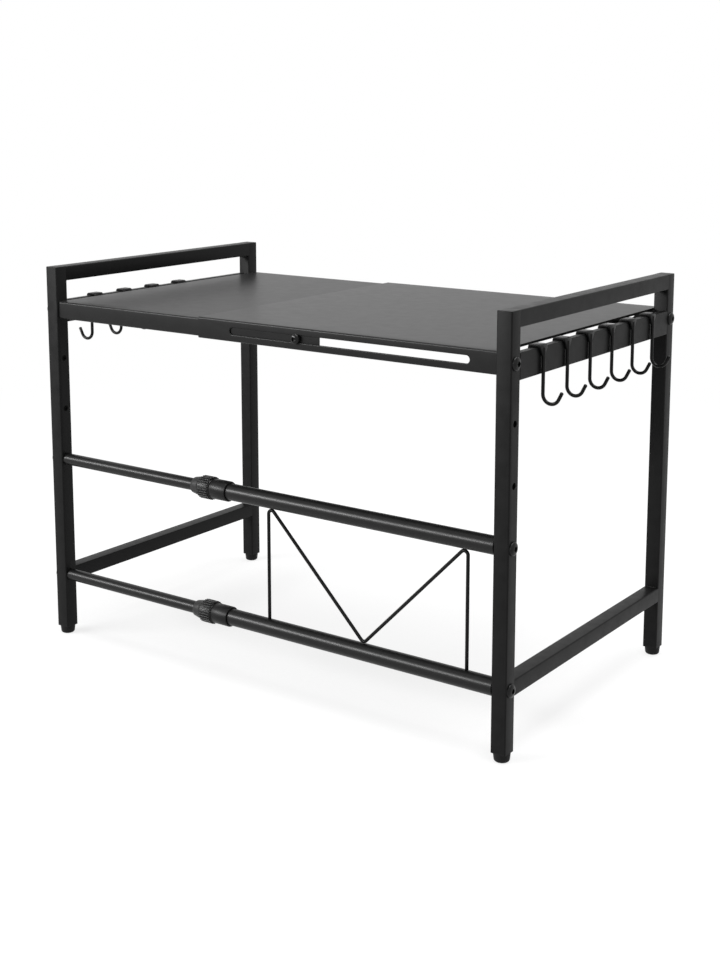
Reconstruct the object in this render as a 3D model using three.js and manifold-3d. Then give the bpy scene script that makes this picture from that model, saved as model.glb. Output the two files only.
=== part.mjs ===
import * as THREE from 'three';
import { mergeVertices } from 'three/addons/utils/BufferGeometryUtils.js';
import Module from 'manifold-3d';

const wasm = await Module();
wasm.setup();

// Size of the stand at rest in millimetres. X is the width, Y the depth with the front at -Y, Z is up.
const width = 590;
const depth = 345;
const height = 422;

// Clearance between pieces that slide, turn or plug together.
const fit = 0.3;

// Square tube of the two end frames.
const post = 16;
const tubeWall = 1.2;
const tubeCorner = 1.4;
const postX = (width - post) / 2;
const postY = (depth - post) / 2;
const innerFace = width / 2 - post;
const span = depth - 2 * post;

// Push-in feet.
const footHeight = 8.8;
const footRadius = 8.4;
const footEdge = 2.6;
const footTaper = 0.7;
const flangeThickness = 1.2;
const plugHeight = 16;
const postBottom = footHeight + flangeThickness;

// Telescoping shelf: two nested sheet channels.
const sheet = 1.2;
const bend = 2;
const guardHeight = 36.5;
const shelfTop = height - guardHeight;
const lipHeight = 22;
const lipSetback = 1;
const outerLength = 352;
const innerLength = 360;
const outerHem = 9;
const innerHem = 8;
const endFold = 2.5;
const earDepth = 15;
const nest = sheet + fit;
const lipMiddle = shelfTop - lipHeight / 2;

// Slot in the outer lips and the clamp screw that runs in it.
const slotLength = 282;
const slotHeight = 7.5;
const slotInset = 28;
const screwInset = 27.5;
const screwRadius = 2.5;
const clampHeadRadius = 5.3;
const clampHeadRim = 1.4;
const clampHeadHeight = 4.2;
const clampSocket = 2.1;
const clampNutThickness = 4;

// Flat side rails at shelf level and the bars above and below them.
const railThickness = 8;
const railHeight = 25;
const railDrop = 2.2;
const railCorner = 1.2;
const railTop = shelfTop - railDrop;

// Two telescoping front rods: thick tube on the right, thin tube on the left.
const thickRadius = 8.8;
const thinRadius = 6.5;
const thickWall = 1.2;
const thinWall = 1;
const upperRod = 205;
const lowerRod = 70;
const thinLength = 340;
const insertLength = 20;

// Twist lock on each rod.
const sleeveEnd = -39;
const collarLength = 21;
const collarRadius = 10.6;
const seam = 0.6;
const gripLength = 16.2;
const gripRadius = 12.2;
const gripDepth = 0.8;
const gripEdge = 1.3;
const gripRibs = 26;
const noseLength = 10.2;
const noseRadius = 8.5;
const noseRootRadius = 10.3;
const neckRadius = 8.9;
const neckLength = 15;
const tubeStop = 4;
const jawTip = 7.4;
const jawRoot = 8;
const jawSplit = 1.6;
const noseLip = 2;

// Bent wire brace between the thick tubes.
const braceWire = 1.75;
const braceBend = 4;
const braceLeft = 11.8;
const braceRight = 248;

// Button-head bolts through the posts.
const boltRadius = 2.5;
const boltLength = 28;
const headRadius = 6.7;
const headRim = 0.9;
const headHeight = 3.6;
const socketRadius = 2.6;
const socketDepth = 2.2;
const weldNutThickness = 5;
const weldNutSide = 11;
const spareHole = 3.2;
const spareHoleDrop = 54.5;
const spareHolePitch = 57;

// Hooks that hang on the side rails: a strap folded over the rail and a bent wire below it.
const strapWidth = 13;
const strapThickness = 2.4;
const strapBend = 3;
const strapLeg = 9;
const strapTab = 11;
const hookWire = 1.7;
const hookPlay = 0.5;
const hookReach = 53.8;
const hookCurve = 8.5;
const hookFlare = 27;
const hookTip = 7.6;
const hookPitch = 46.7;
const rightHooks = 6;
const rightHookInset = 54.5;
const leftHooks = 4;
const leftHookInset = 69.5;

const roundSegments = 20;
const smallSegments = 12;
const wireSides = 6;
const axisX = new THREE.Vector3(1, 0, 0);
const axisY = new THREE.Vector3(0, 1, 0);
const axisZ = new THREE.Vector3(0, 0, 1);
const extrudeToX = new THREE.Matrix4().makeBasis(axisY, axisZ, axisX);
const extrudeToY = new THREE.Matrix4().makeBasis(axisZ, axisX, axisY);
const latheToX = new THREE.Matrix4().makeBasis(axisZ, axisX, axisY);
const latheToZ = new THREE.Matrix4().makeBasis(axisY, axisZ, axisX);
const halfTurn = new THREE.Matrix4().makeBasis(axisX.clone().negate(), axisY.clone().negate(), axisZ);

function solidOf(geometry) {
  const bare = geometry.clone();
  bare.deleteAttribute('normal');
  bare.deleteAttribute('uv');
  const welded = mergeVertices(bare, 1e-4);
  const index = welded.index.array;
  const triangles = [];
  for (let i = 0; i < index.length; i += 3) {
    const [a, b, c] = [index[i], index[i + 1], index[i + 2]];
    if (a !== b && b !== c && c !== a) triangles.push(a, b, c);
  }
  return new wasm.Manifold(new wasm.Mesh({
    numProp: 3,
    vertProperties: new Float32Array(welded.attributes.position.array),
    triVerts: new Uint32Array(triangles),
  }));
}

function geometryOf(solid) {
  const mesh = solid.getMesh();
  const geometry = new THREE.BufferGeometry();
  geometry.setAttribute('position', new THREE.BufferAttribute(new Float32Array(mesh.vertProperties), 3));
  geometry.setIndex(new THREE.BufferAttribute(new Uint32Array(mesh.triVerts), 1));
  return geometry;
}

function box(x0, x1, y0, y1, z0, z1) {
  const geometry = new THREE.BoxGeometry(x1 - x0, y1 - y0, z1 - z0);
  geometry.translate((x0 + x1) / 2, (y0 + y1) / 2, (z0 + z1) / 2);
  return solidOf(geometry);
}

function prism(shape, length, basis = new THREE.Matrix4(), curveSegments = 2) {
  const geometry = new THREE.ExtrudeGeometry(shape, { depth: length, bevelEnabled: false, curveSegments });
  geometry.applyMatrix4(basis);
  return geometry;
}

function turned(profile, basis = new THREE.Matrix4(), segments = roundSegments) {
  const points = profile.map(([radius, along]) => new THREE.Vector2(radius, along));
  const geometry = new THREE.LatheGeometry(points, segments);
  geometry.applyMatrix4(basis);
  return geometry;
}

function rod(radius, start, end, basis, segments = roundSegments) {
  return turned([[0, start], [radius, start], [radius, end], [0, end]], basis, segments);
}

function pipe(radius, wall, start, end, basis, segments = roundSegments) {
  const bore = radius - wall;
  return turned([[bore, start], [radius, start], [radius, end], [bore, end], [bore, start]], basis, segments);
}

function roundedRectangle(w, h, r) {
  const shape = new THREE.Shape();
  shape.absarc(w / 2 - r, h / 2 - r, r, 0, Math.PI / 2);
  shape.absarc(r - w / 2, h / 2 - r, r, Math.PI / 2, Math.PI);
  shape.absarc(r - w / 2, r - h / 2, r, Math.PI, 1.5 * Math.PI);
  shape.absarc(w / 2 - r, r - h / 2, r, 1.5 * Math.PI, 2 * Math.PI);
  shape.closePath();
  return shape;
}

function tubeOutline(w, h, corner, wall) {
  const outline = roundedRectangle(w, h, corner);
  outline.holes.push(roundedRectangle(w - 2 * wall, h - 2 * wall, Math.max(corner - wall, 0.4)));
  return outline;
}

function polygon(radius, sides, phase = 0) {
  const corners = [];
  for (let i = 0; i < sides; i += 1) {
    const angle = phase + (2 * Math.PI * i) / sides;
    corners.push(new THREE.Vector2(radius * Math.cos(angle), radius * Math.sin(angle)));
  }
  return new THREE.Shape(corners);
}

// Wire in an XZ plane: a straight start, round bends, and a straight end.
class BentWire extends THREE.Curve {
  constructor(y, start, bends, end) {
    super();
    this.stations = [];
    const steps = (turn) => Math.max(2, Math.ceil(Math.abs(turn) / (Math.PI / 6)));
    for (const { x, z, radius, from, to } of bends) {
      const count = steps(to - from);
      const sense = Math.sign(to - from);
      for (let i = 0; i <= count; i += 1) {
        const angle = from + ((to - from) * i) / count;
        const cos = Math.cos(angle);
        const sin = Math.sin(angle);
        this.stations.push({
          point: new THREE.Vector3(x + radius * cos, y, z + radius * sin),
          tangent: new THREE.Vector3(-sense * sin, 0, sense * cos),
        });
      }
    }
    const first = this.stations[0].tangent.clone();
    const last = this.stations[this.stations.length - 1].tangent.clone();
    this.stations.unshift({ point: new THREE.Vector3(start[0], y, start[1]), tangent: first });
    this.stations.push({ point: new THREE.Vector3(end[0], y, end[1]), tangent: last });
  }

  station(u) {
    return this.stations[Math.round(u * (this.stations.length - 1))];
  }

  getPointAt(u, target = new THREE.Vector3()) {
    return target.copy(this.station(u).point);
  }

  getTangentAt(u, target = new THREE.Vector3()) {
    return target.copy(this.station(u).tangent);
  }
}

function wire(path, radius) {
  return solidOf(new THREE.ExtrudeGeometry(polygon(radius, wireSides, Math.PI / wireSides), {
    extrudePath: path,
    steps: path.stations.length - 1,
    bevelEnabled: false,
  }));
}

const finishes = {
  coat: { color: 0x2b2c2e, roughness: 0.5, metalness: 0.25 },
  plastic: { color: 0x17181a, roughness: 0.6, metalness: 0 },
  rubber: { color: 0x141414, roughness: 0.85, metalness: 0 },
  bolt: { color: 0x1c1d1f, roughness: 0.32, metalness: 0.7 },
  wire: { color: 0x232427, roughness: 0.42, metalness: 0.35 },
  zinc: { color: 0x8f9296, roughness: 0.4, metalness: 0.85 },
};

const stand = new THREE.Group();
stand.name = 'microwave_shelf';

function add(name, solid, finish, x = 0, y = 0, z = 0, turn = false) {
  const geometry = geometryOf(solid);
  if (turn) geometry.applyMatrix4(halfTurn);
  geometry.translate(x, y, z);
  const faceted = geometry.toNonIndexed();
  faceted.computeVertexNormals();
  const mesh = new THREE.Mesh(faceted, new THREE.MeshStandardMaterial(finishes[finish]));
  mesh.name = name;
  stand.add(mesh);
}

const sides = [{ name: 'right', x: 1 }, { name: 'left', x: -1 }];
const ends = [{ name: 'front', y: -1 }, { name: 'rear', y: 1 }];
const rods = [{ name: 'upper', z: upperRod }, { name: 'lower', z: lowerRod }];

// Posts are closed at the top and open at the foot; the front ones carry the rod bolts and spare holes.
function postSolid(holes) {
  const length = height - postBottom;
  const skin = solidOf(prism(roundedRectangle(post, post, tubeCorner), length));
  const inside = post - 2 * tubeWall;
  let body = skin.subtract(solidOf(prism(roundedRectangle(inside, inside, 0.4), length - tubeWall)));
  for (const { z, radius } of holes) {
    const hole = rod(radius, -post, post, latheToX, smallSegments);
    hole.translate(0, 0, z - postBottom);
    body = body.subtract(solidOf(hole));
  }
  return body;
}

const boltHole = boltRadius + fit;
const shelfHole = { z: lipMiddle, radius: boltHole };
const frontHoles = [
  shelfHole,
  { z: upperRod, radius: boltHole },
  { z: lowerRod, radius: boltHole },
  { z: lipMiddle - spareHoleDrop, radius: spareHole },
  { z: lipMiddle - spareHoleDrop - spareHolePitch, radius: spareHole },
];
const postSolids = { front: postSolid(frontHoles), rear: postSolid([shelfHole]) };

const squareBar = solidOf(prism(tubeOutline(post, post, tubeCorner, tubeWall), span, extrudeToY));
const flatBar = solidOf(prism(tubeOutline(railHeight, railThickness, railCorner, tubeWall), span, extrudeToY));

function footSolid() {
  const profile = [[0, 0]];
  for (let i = 0; i <= 2; i += 1) {
    const angle = (Math.PI / 4) * i;
    const radius = footRadius - footTaper - footEdge + footEdge * Math.sin(angle);
    profile.push([radius, footEdge - footEdge * Math.cos(angle)]);
  }
  profile.push([footRadius, footHeight], [0, footHeight]);
  const pad = solidOf(turned(profile, latheToZ));
  const flange = prism(roundedRectangle(post, post, tubeCorner), flangeThickness);
  flange.translate(0, 0, footHeight);
  const plugSide = post - 2 * (tubeWall + fit);
  const plug = prism(roundedRectangle(plugSide, plugSide, 1), plugHeight);
  plug.translate(0, 0, postBottom - flangeThickness / 2);
  return pad.add(solidOf(flange)).add(solidOf(plug));
}

const foot = footSolid();

for (const side of sides) {
  for (const end of ends) {
    add(`${side.name}_${end.name}_post`, postSolids[end.name], 'coat', side.x * postX, end.y * postY, postBottom);
    add(`${side.name}_${end.name}_foot`, foot, 'rubber', side.x * postX, end.y * postY, 0);
  }
  add(`${side.name}_top_bar`, squareBar, 'coat', side.x * postX, -span / 2, height - post / 2);
  add(`${side.name}_lower_rail`, squareBar, 'coat', side.x * postX, -span / 2, lowerRod);
  const railX = width / 2 - railThickness / 2;
  add(`${side.name}_shelf_rail`, flatBar, 'coat', side.x * railX, -span / 2, railTop - railHeight / 2);
}

// Sheet channel with rounded folds, open below, its lips hemmed inwards.
function channelOutline(half, top, bottom, hem) {
  const shape = new THREE.Shape();
  const inner = bend - sheet;
  const quarter = Math.PI / 2;
  shape.moveTo(hem - half, bottom);
  shape.absarc(bend - half, bottom + bend, bend, -quarter, -2 * quarter, true);
  shape.absarc(bend - half, top - bend, bend, 2 * quarter, quarter, true);
  shape.absarc(half - bend, top - bend, bend, quarter, 0, true);
  shape.absarc(half - bend, bottom + bend, bend, 0, -quarter, true);
  shape.lineTo(half - hem, bottom);
  shape.lineTo(half - hem, bottom + sheet);
  shape.absarc(half - bend, bottom + bend, inner, -quarter, 0, false);
  shape.absarc(half - bend, top - bend, inner, 0, quarter, false);
  shape.absarc(bend - half, top - bend, inner, quarter, 2 * quarter, false);
  shape.absarc(bend - half, bottom + bend, inner, 2 * quarter, 3 * quarter, false);
  shape.lineTo(hem - half, bottom + sheet);
  shape.closePath();
  return shape;
}

// A panel built along +X from its free end at x = 0 to its bolted end at x = length.
function panelSolid(half, top, bottom, hem, length) {
  let body = solidOf(prism(channelOutline(half, top, bottom, hem), length, extrudeToX));
  const bury = sheet / 2;
  body = body.add(box(length - sheet, length, bend - half, half - bend, top - endFold, top - bury));
  for (const end of ends) {
    const [near, far] = [end.y * (half - bury), end.y * (half - earDepth)];
    body = body.add(box(
      length - sheet, length, Math.min(near, far), Math.max(near, far), bottom + bury, top - bury,
    ));
    const hole = rod(boltHole, length - 2 * sheet, length + sheet, latheToX, smallSegments);
    hole.translate(0, end.y * postY, lipMiddle);
    body = body.subtract(solidOf(hole));
  }
  return body;
}

const outerHalf = depth / 2 - lipSetback;
const innerHalf = outerHalf - nest;
const outerBottom = shelfTop - lipHeight;

const slotShape = roundedRectangle(slotHeight, slotLength, slotHeight / 2 - 0.01);
const slotCutter = prism(slotShape, 2 * (outerHalf + sheet), extrudeToY, 5);
slotCutter.translate(outerLength - slotInset - slotLength / 2, -(outerHalf + sheet), lipMiddle);
const outerPanel = panelSolid(outerHalf, shelfTop, outerBottom, outerHem, outerLength)
  .subtract(solidOf(slotCutter));
add('outer_panel', outerPanel, 'coat', innerFace - outerLength);

const clampHole = rod(screwRadius + fit, -(innerHalf + sheet), innerHalf + sheet, undefined, smallSegments);
clampHole.translate(screwInset, 0, lipMiddle);
const innerPanel = panelSolid(innerHalf, shelfTop - nest, outerBottom + nest, innerHem, innerLength)
  .subtract(solidOf(clampHole));
add('inner_panel', innerPanel, 'coat', innerLength - innerFace, 0, 0, true);

// Tapped blocks welded behind the panels' bolted ears, tight against the lips.
function weldNutSolid(half, inward, end) {
  const near = end.y * (half - sheet - fit);
  const far = near - end.y * weldNutSide;
  const [start, stop] = inward > 0 ? [0, weldNutThickness] : [-weldNutThickness, 0];
  const block = box(
    start, stop, Math.min(near, far), Math.max(near, far), -weldNutSide / 2, weldNutSide / 2,
  );
  const hole = rod(boltHole, start - 1, stop + 1, latheToX, smallSegments);
  hole.translate(0, end.y * postY, 0);
  return block.subtract(solidOf(hole));
}

for (const side of sides) {
  for (const end of ends) {
    const half = side.x > 0 ? outerHalf : innerHalf;
    const block = weldNutSolid(half, -side.x, end);
    add(`${side.name}_${end.name}_weld_nut`, block, 'zinc', side.x * (innerFace - sheet), 0, lipMiddle);
  }
}

// Screw with a shank below its seat, a domed head above it and a hexagon socket in the head.
function buttonScrew(shank, length, radius, rim, rise, socket, latheBasis, socketBasis) {
  const domeSteps = 3;
  const profile = [[0, -length], [shank, -length], [shank, 0], [radius, 0]];
  for (let i = 0; i <= domeSteps; i += 1) {
    const angle = (Math.PI / 2) * (i / domeSteps);
    const ring = i === domeSteps ? 0 : radius * Math.cos(angle);
    profile.push([ring, rim + (rise - rim) * Math.sin(angle)]);
  }
  const recess = prism(polygon(socket, 6), socketDepth + 1);
  recess.translate(0, 0, rise - socketDepth);
  recess.applyMatrix4(socketBasis);
  return solidOf(turned(profile, latheBasis, 16)).subtract(solidOf(recess));
}

// Clamp screws: head outside the outer lip, shank through its slot into a nut behind the inner lip.
const clampSeat = outerHalf + fit;
const shankEnd = innerHalf - sheet - clampNutThickness - 1;
const clampScrew = buttonScrew(
  screwRadius, clampSeat - shankEnd, clampHeadRadius, clampHeadRim, clampHeadHeight, clampSocket,
  new THREE.Matrix4(), extrudeToY,
).translate([0, clampSeat, 0]);
const clampX = innerLength - innerFace - screwInset;
const clampNut = solidOf(prism(polygon(screwRadius * 1.9, 6), clampNutThickness, extrudeToY))
  .subtract(solidOf(rod(screwRadius + fit, -1, clampNutThickness + 1, undefined, smallSegments)));
add('rear_clamp_screw', clampScrew, 'bolt', clampX, 0, lipMiddle);
add('front_clamp_screw', clampScrew, 'bolt', clampX, 0, lipMiddle, true);
add('rear_clamp_nut', clampNut, 'zinc', clampX, innerHalf - sheet - clampNutThickness, lipMiddle);
add('front_clamp_nut', clampNut, 'zinc', clampX, sheet - innerHalf, lipMiddle);

// Front rods with threaded inserts in their bolted ends.
const collarStart = sleeveEnd - collarLength;
const thickStart = collarStart + tubeStop + fit;
const thickTube = solidOf(pipe(thickRadius, thickWall, thickStart, innerFace, latheToX));
const thinTube = solidOf(pipe(thinRadius, thinWall, -innerFace, thinLength - innerFace, latheToX));
const thickInsert = solidOf(pipe(
  thickRadius - thickWall - fit, thickRadius - thickWall - fit - boltHole,
  innerFace - insertLength, innerFace, latheToX, smallSegments,
));
const thinInsert = solidOf(pipe(
  thinRadius - thinWall - fit, thinRadius - thinWall - fit - boltHole,
  -innerFace, insertLength - innerFace, latheToX, smallSegments,
));

// Sleeve on the thick tube's end, with a neck that carries the lock nut.
const neckEnd = collarStart - neckLength;
const bore = thinRadius + fit;
const sleeveBore = thickRadius + fit;
const sleeve = solidOf(turned([
  [bore, neckEnd], [neckRadius, neckEnd], [neckRadius, collarStart],
  [collarRadius - 0.5, collarStart], [collarRadius, collarStart + 0.5],
  [collarRadius, sleeveEnd - 0.6], [collarRadius - 0.6, sleeveEnd], [sleeveBore, sleeveEnd],
  [sleeveBore, collarStart + tubeStop], [bore, collarStart + tubeStop], [bore, neckEnd],
], latheToX));

// Split jaw that the nut squeezes onto the thin tube.
const gripEnd = collarStart - seam;
const gripStart = gripEnd - gripLength;
const noseEnd = gripStart - noseLength;
const jawStart = noseEnd + noseLip + fit;
const jawEnd = neckEnd - fit;
const jaw = solidOf(turned([
  [bore, jawStart], [jawTip, jawStart], [jawRoot, jawEnd], [bore, jawEnd], [bore, jawStart],
], latheToX)).subtract(box(jawStart - 1, jawEnd + 1, -jawSplit / 2, jawSplit / 2, 0, 2 * jawRoot));

// Lock nut: smooth nose and a ribbed grip, hollow for the neck and the jaw.
function gripOutline() {
  const points = [];
  const valley = gripRadius - gripDepth;
  const radii = [valley, gripRadius, gripRadius, valley];
  for (let i = 0; i < gripRibs; i += 1) {
    radii.forEach((radius, k) => {
      const angle = ((i + [0.14, 0.28, 0.72, 0.86][k]) * 2 * Math.PI) / gripRibs;
      points.push(new THREE.Vector2(radius * Math.cos(angle), radius * Math.sin(angle)));
    });
  }
  return new THREE.Shape(points);
}

const grip = prism(gripOutline(), gripLength, extrudeToX);
grip.translate(gripStart, 0, 0);
const nutSkin = solidOf(turned([
  [0, noseEnd], [noseRadius - 0.6, noseEnd], [noseRadius, noseEnd + 0.6], [noseRootRadius, gripStart],
  [noseRootRadius, gripStart + 1], [0, gripStart + 1],
], latheToX));
const gripSkinRadius = gripRadius + 0.1;
const gripSkin = solidOf(turned([
  [0, gripStart], [gripSkinRadius - gripEdge, gripStart], [gripSkinRadius, gripStart + gripEdge],
  [gripSkinRadius, gripEnd - gripEdge / 2], [gripSkinRadius - gripEdge / 2, gripEnd], [0, gripEnd],
], latheToX));
const cavityEnd = neckEnd - fit;
const cavity = solidOf(turned([
  [0, noseEnd - 1], [bore + 0.1, noseEnd - 1], [bore + 0.1, noseEnd + noseLip], [jawTip + fit, noseEnd + noseLip],
  [jawRoot + fit, cavityEnd], [neckRadius + fit, cavityEnd], [neckRadius + fit, gripEnd + 1], [0, gripEnd + 1],
], latheToX));
const lockNut = solidOf(grip).intersect(gripSkin).add(nutSkin).subtract(cavity);

for (const { name, z } of rods) {
  add(`${name}_thick_tube`, thickTube, 'coat', 0, -postY, z);
  add(`${name}_thin_tube`, thinTube, 'coat', 0, -postY, z);
  add(`${name}_right_insert`, thickInsert, 'zinc', 0, -postY, z);
  add(`${name}_left_insert`, thinInsert, 'zinc', 0, -postY, z);
  add(`${name}_sleeve`, sleeve, 'plastic', 0, -postY, z);
  add(`${name}_lock_jaw`, jaw, 'plastic', 0, -postY, z);
  add(`${name}_lock_nut`, lockNut, 'plastic', 0, -postY, z);
}

// Wire brace: straight legs at both ends and a V between them, its bends against the tubes.
function braceSolid() {
  const topZ = upperRod - thickRadius - fit - braceWire - braceBend;
  const bottomZ = lowerRod + thickRadius + fit + braceWire + braceBend;
  const footZ = lowerRod + thickRadius + fit;
  const middle = (braceLeft + braceRight) / 2;
  const reach = middle - braceLeft - braceBend;
  const drop = topZ - bottomZ;
  const slope = Math.atan2(drop, reach) + Math.asin((2 * braceBend) / Math.hypot(reach, drop));
  const lean = Math.PI / 2 - slope;
  const path = new BentWire(-postY, [braceLeft, footZ], [
    { x: braceLeft + braceBend, z: topZ, radius: braceBend, from: Math.PI, to: lean },
    { x: middle, z: bottomZ, radius: braceBend, from: Math.PI + lean, to: 2 * Math.PI - lean },
    { x: braceRight - braceBend, z: topZ, radius: braceBend, from: Math.PI - lean, to: 0 },
  ], [braceRight, footZ]);
  return wire(path, braceWire);
}

add('front_brace', braceSolid(), 'coat');

// Bolts along X, their heads outside the posts.
const bolt = buttonScrew(
  boltRadius, boltLength, headRadius, headRim, headHeight, socketRadius, latheToX, extrudeToX,
);

for (const side of sides) {
  const seat = side.x * (width / 2);
  const turn = side.x < 0;
  add(`${side.name}_front_shelf_bolt`, bolt, 'bolt', seat, -postY, lipMiddle, turn);
  add(`${side.name}_rear_shelf_bolt`, bolt, 'bolt', seat, postY, lipMiddle, turn);
  add(`${side.name}_upper_rod_bolt`, bolt, 'bolt', seat, -postY, upperRod, turn);
  add(`${side.name}_lower_rod_bolt`, bolt, 'bolt', seat, -postY, lowerRod, turn);
}

// Strap of a hook: folded over the rail, its outer tab narrowing down to the wire.
function strapSolid(top, inner, outer) {
  const fold = strapBend - strapThickness;
  const quarter = Math.PI / 2;
  const shape = new THREE.Shape();
  shape.moveTo(top - strapLeg, inner);
  shape.absarc(top - strapBend, inner + strapBend, strapBend, -quarter, 0);
  shape.absarc(top - strapBend, outer - strapBend, strapBend, 0, quarter);
  shape.lineTo(top - strapTab, outer);
  shape.lineTo(top - strapTab, outer - strapThickness);
  shape.absarc(top - strapBend, outer - strapBend, fold, quarter, 0, true);
  shape.absarc(top - strapBend, inner + strapBend, fold, 0, -quarter, true);
  shape.lineTo(top - strapLeg, inner + strapThickness);
  shape.closePath();
  const band = prism(shape, strapWidth, extrudeToY);
  band.translate(0, -strapWidth / 2, 0);
  let strap = solidOf(band);
  for (const { y } of ends) {
    const corner = new THREE.Shape([
      new THREE.Vector2(y * strapWidth, top - strapBend),
      new THREE.Vector2((y * strapWidth) / 2, top - strapBend),
      new THREE.Vector2(y * hookWire, top - strapTab - 0.1),
      new THREE.Vector2(y * strapWidth, top - strapTab - 0.1),
    ]);
    const cutter = prism(corner, 2 * strapThickness, extrudeToX);
    cutter.translate(outer - 1.5 * strapThickness, 0, 0);
    strap = strap.subtract(solidOf(cutter));
  }
  return strap;
}

// Hook: the strap, a stem down the rail's outer face, a round bottom and a flared tip.
function hookSolid() {
  const top = railTop + fit + strapThickness;
  const outer = width / 2 + fit + strapThickness;
  const inner = width / 2 - railThickness - hookPlay - strapThickness;
  const stem = width / 2 + fit + 0.1 + hookWire;
  const flare = THREE.MathUtils.degToRad(hookFlare);
  const curveZ = railTop - hookReach + hookWire + hookCurve;
  const curveX = stem + hookCurve;
  const lastX = curveX + hookCurve * Math.cos(flare);
  const lastZ = curveZ - hookCurve * Math.sin(flare);
  const path = new BentWire(0, [stem, top - strapBend], [
    { x: curveX, z: curveZ, radius: hookCurve, from: Math.PI, to: 2 * Math.PI - flare },
  ], [lastX + hookTip * Math.sin(flare), lastZ + hookTip * Math.cos(flare)]);
  return strapSolid(top, inner, outer).add(wire(path, hookWire));
}

const hook = hookSolid();
for (let i = 0; i < rightHooks; i += 1) {
  add(`right_hook_${i + 1}`, hook, 'wire', 0, rightHookInset - depth / 2 + i * hookPitch, 0);
}
for (let i = 0; i < leftHooks; i += 1) {
  add(`left_hook_${i + 1}`, hook, 'wire', 0, leftHookInset - depth / 2 + i * hookPitch, 0, true);
}

export default stand;
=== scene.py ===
import math

import bpy
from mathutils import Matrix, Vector


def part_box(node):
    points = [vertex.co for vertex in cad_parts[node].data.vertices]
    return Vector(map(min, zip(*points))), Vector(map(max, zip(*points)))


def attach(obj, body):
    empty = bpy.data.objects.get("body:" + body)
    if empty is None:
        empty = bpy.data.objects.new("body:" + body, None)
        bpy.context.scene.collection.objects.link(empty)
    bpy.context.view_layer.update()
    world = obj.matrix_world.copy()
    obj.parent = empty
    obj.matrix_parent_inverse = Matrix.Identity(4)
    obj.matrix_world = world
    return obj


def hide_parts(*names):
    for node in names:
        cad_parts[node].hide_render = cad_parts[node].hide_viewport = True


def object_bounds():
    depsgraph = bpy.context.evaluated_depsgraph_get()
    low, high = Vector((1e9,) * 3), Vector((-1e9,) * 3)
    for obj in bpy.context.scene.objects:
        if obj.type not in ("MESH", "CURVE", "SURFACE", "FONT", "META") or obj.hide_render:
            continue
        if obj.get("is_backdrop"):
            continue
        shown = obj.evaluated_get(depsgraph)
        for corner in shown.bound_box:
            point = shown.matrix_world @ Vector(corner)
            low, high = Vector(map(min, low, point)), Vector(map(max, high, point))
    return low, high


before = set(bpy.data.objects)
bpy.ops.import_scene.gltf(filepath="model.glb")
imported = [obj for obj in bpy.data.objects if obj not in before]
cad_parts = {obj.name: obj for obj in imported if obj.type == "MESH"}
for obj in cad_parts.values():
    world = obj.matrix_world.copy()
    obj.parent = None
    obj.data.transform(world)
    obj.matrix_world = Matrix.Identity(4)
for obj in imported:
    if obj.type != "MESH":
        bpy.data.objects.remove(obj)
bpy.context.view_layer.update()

# Lengths are in metres. Outlines of turned pieces, and drills, are in millimetres and say so.
MM = 0.001
X, Y, Z = 0, 1, 2
RIGHT, LEFT = "right_half", "left_half"
SIDES = (("right", RIGHT), ("left", LEFT))
ENDS = ("front", "rear")
RODS = ("upper", "lower")

# Points that are nearer to each other than this are one point.
TOUCH = 1e-6
# An edge is parallel to an axis if this share of its length runs along it.
PARALLEL = 0.99
CORNER_STEPS = 5
SOFT_STEPS, SOFT_ANGLE = 2, 50
DRILL_SIDES = 32
FACING = {"+X": (0, 90, 0), "-X": (0, -90, 0), "+Y": (-90, 0, 0), "-Y": (90, 0, 0)}


# Operators act on all that is selected, so each piece starts from nothing selected.
def start_clean():
    bpy.ops.object.select_all(action="DESELECT")


def take(piece):
    start_clean()
    bpy.context.view_layer.objects.active = piece
    piece.select_set(True)


def named(name):
    piece = bpy.context.object
    piece.name = name
    piece.data.name = name
    return piece


def settle(piece):
    take(piece)
    bpy.ops.object.transform_apply(location=True, rotation=True, scale=True)
    return piece


def edit(piece, kind):
    take(piece)
    bpy.ops.object.mode_set(mode="EDIT")
    bpy.ops.mesh.select_mode(type=kind)


def leave():
    bpy.ops.object.mode_set(mode="OBJECT")


def pick_edges(piece, wanted):
    edit(piece, "EDGE")
    bpy.ops.mesh.select_all(action="DESELECT")
    leave()
    points = piece.data.vertices
    for edge in piece.data.edges:
        a, b = (points[i].co for i in edge.vertices)
        edge.select = wanted(a, b)
    bpy.ops.object.mode_set(mode="EDIT")


def pick_faces(piece, wanted):
    edit(piece, "FACE")
    bpy.ops.mesh.select_all(action="DESELECT")
    leave()
    for face in piece.data.polygons:
        face.select = wanted(face)
    bpy.ops.object.mode_set(mode="EDIT")


def along(a, b, axis):
    step = b - a
    return abs(step[axis]) > PARALLEL * step.length


def both_at(a, b, axis, value):
    return abs(a[axis] - value) < TOUCH and abs(b[axis] - value) < TOUCH


def draw_on(step):
    bpy.ops.mesh.extrude_region_move(TRANSFORM_OT_translate={"value": step})


def pull_edges(piece, wanted, *steps):
    pick_edges(piece, wanted)
    for step in steps:
        draw_on(step)
    leave()


def round_edges(piece, wanted, width, segments):
    pick_edges(piece, wanted)
    bpy.ops.mesh.bevel(offset=width, segments=segments, affect="EDGES")
    leave()


def heal(piece):
    edit(piece, "VERT")
    bpy.ops.mesh.select_all(action="SELECT")
    bpy.ops.mesh.remove_doubles(threshold=TOUCH)
    bpy.ops.mesh.normals_make_consistent(inside=False)
    leave()


def smooth(piece, degrees=35):
    take(piece)
    bpy.ops.object.shade_smooth_by_angle(angle=math.radians(degrees))


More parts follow.
